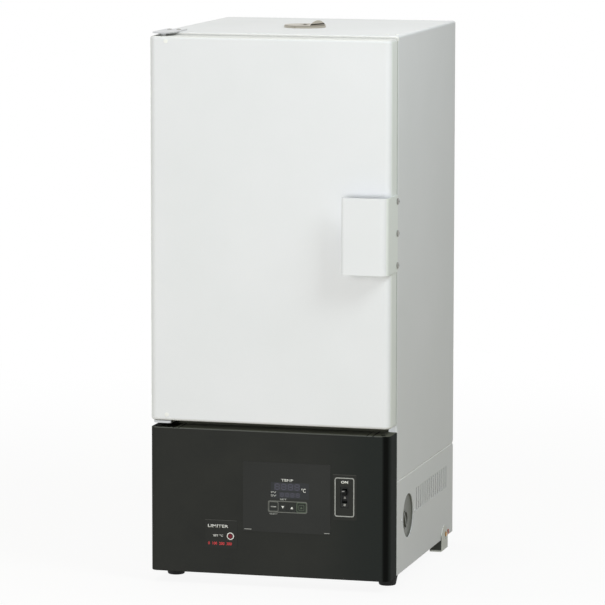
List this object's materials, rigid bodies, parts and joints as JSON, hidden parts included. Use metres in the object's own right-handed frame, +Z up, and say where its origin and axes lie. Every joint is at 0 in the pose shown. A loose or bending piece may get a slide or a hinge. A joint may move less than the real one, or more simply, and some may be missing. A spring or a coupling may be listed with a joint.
{
  "type": "convection drying oven",
  "caption": "Bench-top natural convection drying oven with a hinged door, a black control cover, wire shelves, an exhaust damper on the top and a side air intake.",
  "frame": {"origin": "bottom centre of the whole outline, on the floor under the feet", "axes": "+Z up, the door and the controls face -Y, +X to the right when facing the door"},
  "size_m": [0.419, 0.514, 0.9264],
  "materials": {
    "casing_paint": "semi-gloss off-white powder coat",
    "rear_zinc": "zinc-plated sheet",
    "stainless": "fine brushed",
    "shelf_wire": "polished stainless wire",
    "mineral_wool": "mineral wool",
    "heater_sheath": "heat-tinted sheath",
    "ceramic": "glazed ceramic",
    "dish_paint": "grey paint",
    "duct_steel": "plain steel tube",
    "silicone": "matt silicone",
    "foot_rubber": "moulded rubber",
    "grip_paint": "semi-gloss off-white powder coat",
    "screw_steel": "plated screws",
    "cap_plastic": "push-in caps",
    "magnet_case": "moulded case",
    "cover_plastic": "fine textured moulding",
    "overlay_film": "printed film",
    "display_lens": "tinted lens",
    "key_film": "printed film",
    "board_green": "coated board",
    "device_black": "moulded housings",
    "lever_black": "moulded lever",
    "dial_red": "moulded dial",
    "sink_aluminium": "extruded"
  },
  "bodies": {
    "cabinet": {"base_pan": "rear_zinc", "bottom_hinge": "stainless", "breaker_body": "device_black", "cabinet_screws": "screw_steel", "catch_magnet": "magnet_case", "control_board": "board_green", "control_cover": "cover_plastic", "control_overlay": "overlay_film", "cord_gland": "device_black", "deck": "rear_zinc", "display_window": "display_lens", "exhaust_collar": "stainless", "exhaust_pin": "heater_sheath", "exhaust_pipe": "stainless", "front_feet": "foot_rubber", "front_frame": "stainless", "heat_sink": "sink_aluminium", "heater": "heater_sheath", "heater_baffle": "stainless", "heater_bushings": "ceramic", "inner_chamber": "stainless", "insulation": "mineral_wool", "intake_dish": "dish_paint", "intake_riser": "duct_steel", "intake_tube": "duct_steel", "label_plates": "overlay_film", "limit_switch": "device_black", "lower_frame": "rear_zinc", "lower_shelf": "shelf_wire", "lower_side_left": "casing_paint", "lower_side_right": "casing_paint", "power_relay": "device_black", "rear_feet": "stainless", "rear_lower_panel": "rear_zinc", "rear_upper_panel": "rear_zinc", "sensors": "heater_sheath", "shelf_clips": "stainless", "shelf_rails": "stainless", "spare_plugs": "cap_plastic", "terminal_block": "device_black", "top_hinge": "stainless", "upper_casing": "casing_paint", "upper_shelf": "shelf_wire"},
    "door": {"door_outer": "casing_paint", "door_liner": "stainless", "door_insulation": "mineral_wool", "hinge_bearings": "screw_steel", "door_gasket": "silicone", "door_plugs": "cap_plastic", "door_striker": "stainless", "handle": "grip_paint", "handle_screws": "screw_steel"},
    "exhaust_flap": {"exhaust_damper": "stainless"},
    "intake_flap": {"intake_knob": "dish_paint"},
    "breaker_toggle": {"breaker_lever": "lever_black"},
    "overheat_setting": {"limit_dial": "dial_red"},
    "mode_key": {"key_mode": "key_film"},
    "down_key": {"key_down": "key_film"},
    "up_key": {"key_up": "key_film"},
    "run_key": {"key_run": "key_film"}
  },
  "joints": [
    {"name": "door_swing", "type": "hinge", "parent": "cabinet", "child": "door", "pos_m": [-0.187, -0.203, 0.2726], "axis": [0, 0, -1], "range_deg": [0, 120]},
    {"name": "exhaust_turn", "type": "hinge", "parent": "cabinet", "child": "exhaust_flap", "pos_m": [-0.001, 0.003, 0.9175], "axis": [0, 0, 1], "range_deg": [0, 90]},
    {"name": "intake_turn", "type": "hinge", "parent": "cabinet", "child": "intake_flap", "pos_m": [0.1875, -0.0943, 0.1002], "axis": [1, 0, 0], "range_deg": [-30, 60]},
    {"name": "breaker_tilt", "type": "hinge", "parent": "cabinet", "child": "breaker_toggle", "pos_m": [0.1274, -0.211, 0.1572], "axis": [1, 0, 0], "range_deg": [0, 52]},
    {"name": "overheat_turn", "type": "hinge", "parent": "cabinet", "child": "overheat_setting", "pos_m": [-0.0677, -0.225, 0.083], "axis": [0, -1, 0], "range_deg": [-135, 135]},
    {"name": "mode_press", "type": "slide", "parent": "cabinet", "child": "mode_key", "axis": [0, 1, 0], "range_m": [0, 0.0004], "stiffness_N_per_m": 2500},
    {"name": "down_press", "type": "slide", "parent": "cabinet", "child": "down_key", "axis": [0, 1, 0], "range_m": [0, 0.0004], "stiffness_N_per_m": 2500},
    {"name": "up_press", "type": "slide", "parent": "cabinet", "child": "up_key", "axis": [0, 1, 0], "range_m": [0, 0.0004], "stiffness_N_per_m": 2500},
    {"name": "run_press", "type": "slide", "parent": "cabinet", "child": "run_key", "axis": [0, 1, 0], "range_m": [0, 0.0004], "stiffness_N_per_m": 2500}
  ]
}
